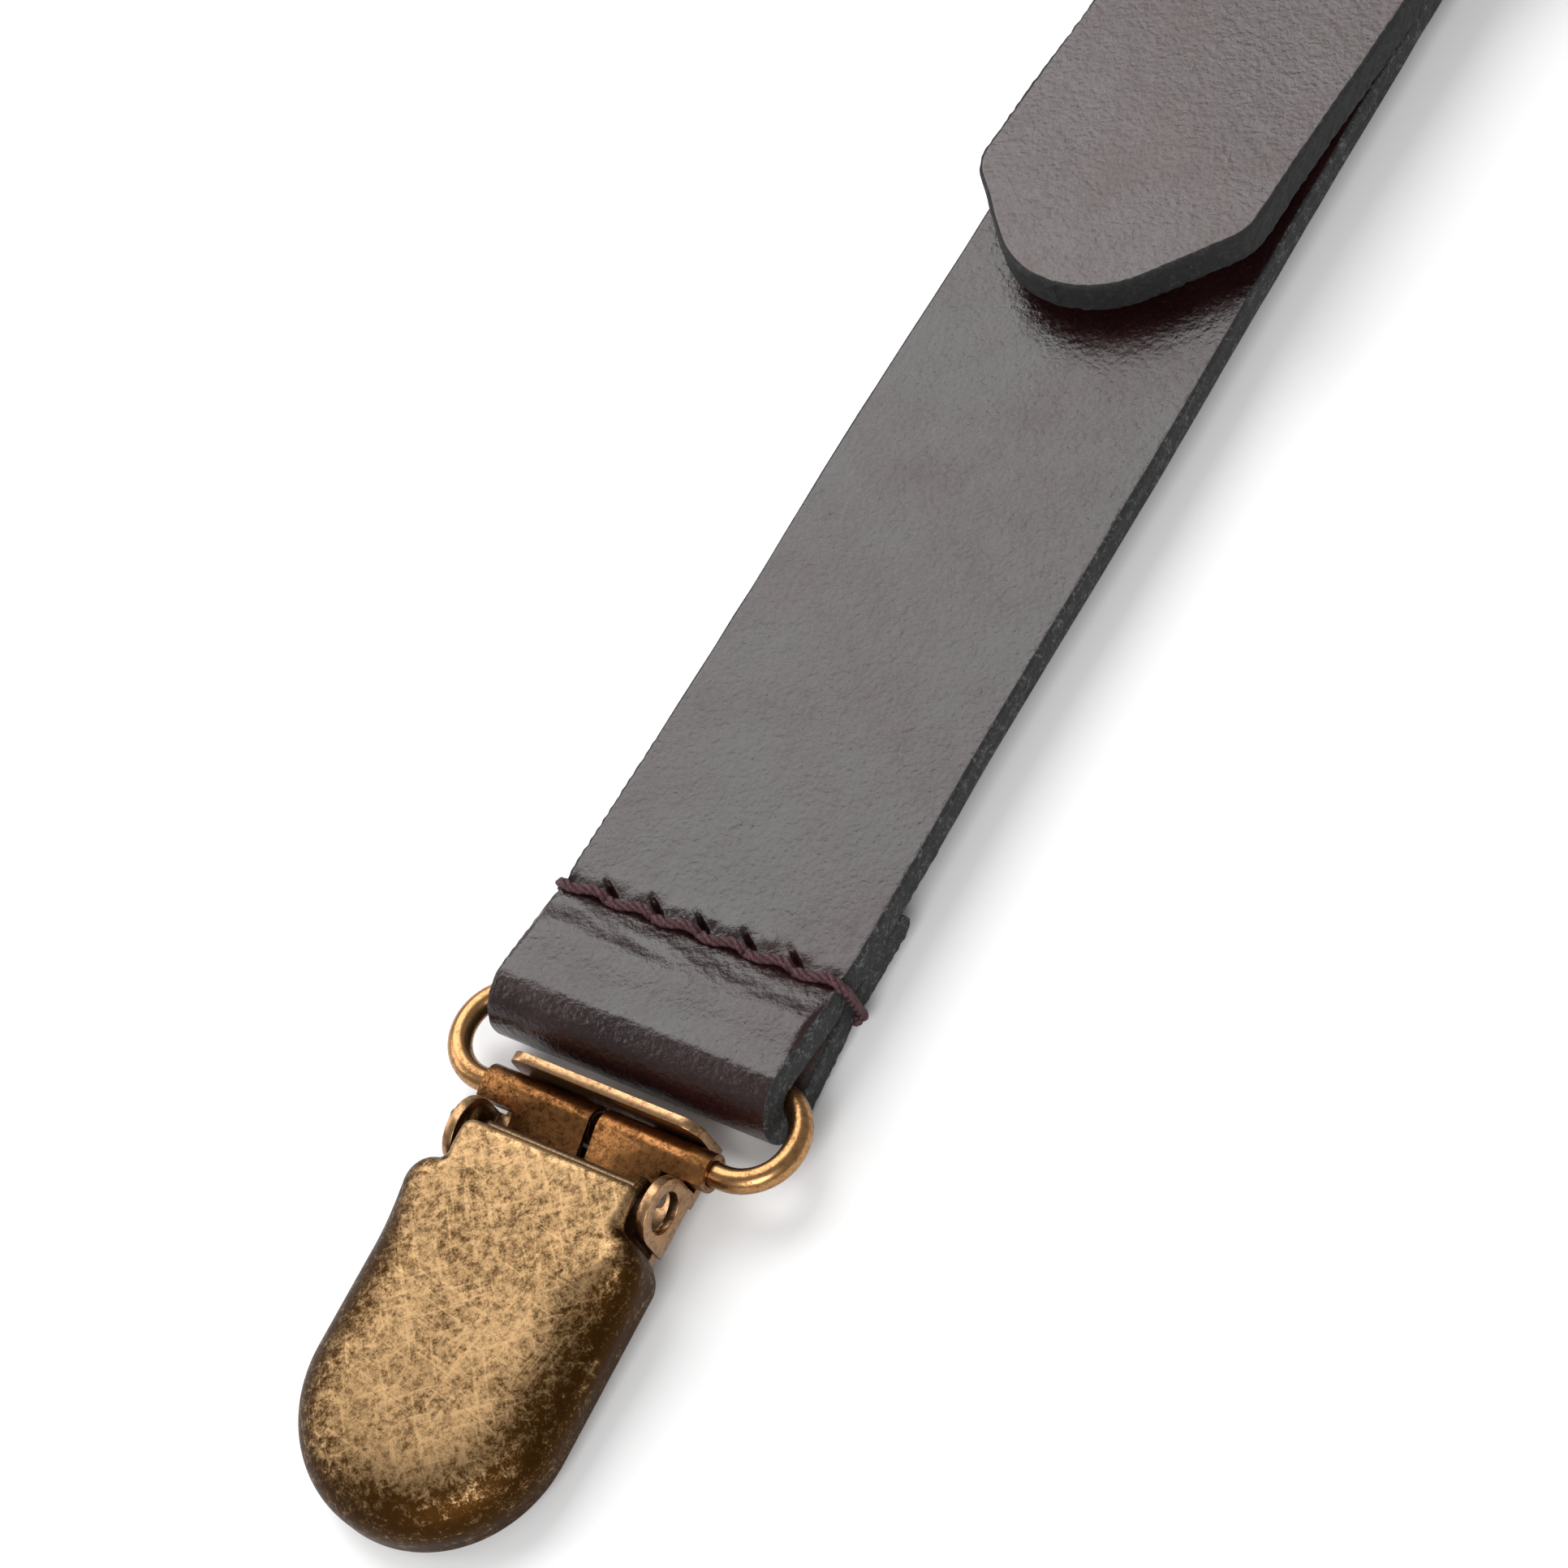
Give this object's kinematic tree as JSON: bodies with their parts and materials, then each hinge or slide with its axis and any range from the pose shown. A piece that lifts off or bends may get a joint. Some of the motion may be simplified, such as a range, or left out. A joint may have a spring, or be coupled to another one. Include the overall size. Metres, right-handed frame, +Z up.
{
  "type": "suspenders",
  "caption": "Leather suspenders with a Y back, riveted back patch, buckled and adjustable front straps, and antique brass trouser clips on wire rings.",
  "frame": {"origin": "on the table under the middle of the laid-out suspenders", "axes": "+Y from the front clips to the back clip, +Z up out of the table, face side up, +X to the right"},
  "size_m": [0.3058, 1.034, 0.0119],
  "materials": {
    "leather": "glossy dark oxblood bridle leather with raw charcoal cut edges",
    "keeper_leather": "glossy dark oxblood leather",
    "thread": "waxed twisted plum brown thread",
    "cover_brass": "antique brass, mottled patina with fine scratches",
    "plate_brass": "antique brass, grey brown",
    "sleeve_brass": "antique brass",
    "ring_brass": "antique brass wire, semi polished",
    "buckle_brass": "antique brass, semi polished",
    "rivet_brass": "antique brass, semi polished",
    "pin_steel": "brass plated steel wire",
    "pad_plastic": "matt dark plastic"
  },
  "bodies": {
    "leather": {"left_lower_strap": "leather", "right_lower_strap": "leather", "left_shoulder_strap": "leather", "right_shoulder_strap": "leather", "back_strap": "leather", "patch_front": "leather", "patch_back": "leather", "patch_rivets": "rivet_brass", "left_clip_stitching": "thread", "right_clip_stitching": "thread", "back_clip_stitching": "thread", "left_buckle_stitching": "thread", "right_buckle_stitching": "thread"},
    "left_ring": {"left_ring": "ring_brass"},
    "left_clip": {"left_ring_sleeve": "sleeve_brass", "left_sleeve_rivets": "sleeve_brass", "left_back_plate": "plate_brass", "left_jaw_pad": "pad_plastic"},
    "left_cover": {"left_cover": "cover_brass", "left_pivot_pin": "pin_steel"},
    "right_ring": {"right_ring": "ring_brass"},
    "right_clip": {"right_ring_sleeve": "sleeve_brass", "right_sleeve_rivets": "sleeve_brass", "right_back_plate": "plate_brass", "right_jaw_pad": "pad_plastic"},
    "right_cover": {"right_cover": "cover_brass", "right_pivot_pin": "pin_steel"},
    "back_ring": {"back_ring": "ring_brass"},
    "back_clip": {"back_ring_sleeve": "sleeve_brass", "back_sleeve_rivets": "sleeve_brass", "back_back_plate": "plate_brass", "back_jaw_pad": "pad_plastic"},
    "back_cover": {"back_cover": "cover_brass", "back_pivot_pin": "pin_steel"},
    "left_buckle": {"left_buckle_frame": "buckle_brass"},
    "left_prong": {"left_prong": "buckle_brass"},
    "left_keeper": {"left_keeper": "keeper_leather"},
    "right_buckle": {"right_buckle_frame": "buckle_brass"},
    "right_prong": {"right_prong": "buckle_brass"},
    "right_keeper": {"right_keeper": "keeper_leather"}
  },
  "joints": [
    {"name": "left_ring_swing", "type": "hinge", "parent": "leather", "child": "left_ring", "pos_m": [-0.13679, -0.47606, 0.0041], "axis": [-0.9848, 0.1736, 0], "range_deg": [-50, 50]},
    {"name": "left_clip_swing", "type": "hinge", "parent": "left_ring", "child": "left_clip", "pos_m": [-0.13812, -0.48364, 0.0041], "axis": [-0.9848, 0.1736, 0], "range_deg": [-45, 45]},
    {"name": "left_cover_lift", "type": "hinge", "parent": "left_clip", "child": "left_cover", "pos_m": [-0.13883, -0.48761, 0.00635], "axis": [-0.9848, 0.1736, 0], "range_deg": [0, 70]},
    {"name": "right_ring_swing", "type": "hinge", "parent": "leather", "child": "right_ring", "pos_m": [0.13679, -0.47606, 0.0041], "axis": [-0.9848, -0.1736, 0], "range_deg": [-50, 50]},
    {"name": "right_clip_swing", "type": "hinge", "parent": "right_ring", "child": "right_clip", "pos_m": [0.13812, -0.48364, 0.0041], "axis": [-0.9848, -0.1736, 0], "range_deg": [-45, 45]},
    {"name": "right_cover_lift", "type": "hinge", "parent": "right_clip", "child": "right_cover", "pos_m": [0.13883, -0.48761, 0.00635], "axis": [-0.9848, -0.1736, 0], "range_deg": [0, 70]},
    {"name": "back_ring_swing", "type": "hinge", "parent": "leather", "child": "back_ring", "pos_m": [0, 0.47559, 0.0041], "axis": [1, 0, 0], "range_deg": [-50, 50]},
    {"name": "back_clip_swing", "type": "hinge", "parent": "back_ring", "child": "back_clip", "pos_m": [0, 0.48329, 0.0041], "axis": [1, 0, 0], "range_deg": [-45, 45]},
    {"name": "back_cover_lift", "type": "hinge", "parent": "back_clip", "child": "back_cover", "pos_m": [0, 0.48732, 0.00635], "axis": [1, 0, 0], "range_deg": [0, 70]},
    {"name": "left_buckle_lift", "type": "hinge", "parent": "leather", "child": "left_buckle", "pos_m": [-0.09977, -0.26609, 0.0041], "axis": [0.9848, -0.1736, 0], "range_deg": [0, 5]},
    {"name": "left_prong_lift", "type": "hinge", "parent": "left_buckle", "child": "left_prong", "pos_m": [-0.09977, -0.26609, 0.0041], "axis": [0.9848, -0.1736, 0], "range_deg": [0, 3]},
    {"name": "left_keeper_slide", "type": "slide", "parent": "leather", "child": "left_keeper", "axis": [0.1736, 0.9848, 0], "range_m": [-0.01, 0.04]},
    {"name": "right_buckle_lift", "type": "hinge", "parent": "leather", "child": "right_buckle", "pos_m": [0.09977, -0.26609, 0.0041], "axis": [0.9848, 0.1736, 0], "range_deg": [0, 5]},
    {"name": "right_prong_lift", "type": "hinge", "parent": "right_buckle", "child": "right_prong", "pos_m": [0.09977, -0.26609, 0.0041], "axis": [0.9848, 0.1736, 0], "range_deg": [0, 3]},
    {"name": "right_keeper_slide", "type": "slide", "parent": "leather", "child": "right_keeper", "axis": [-0.1736, 0.9848, 0], "range_m": [-0.01, 0.04]}
  ]
}
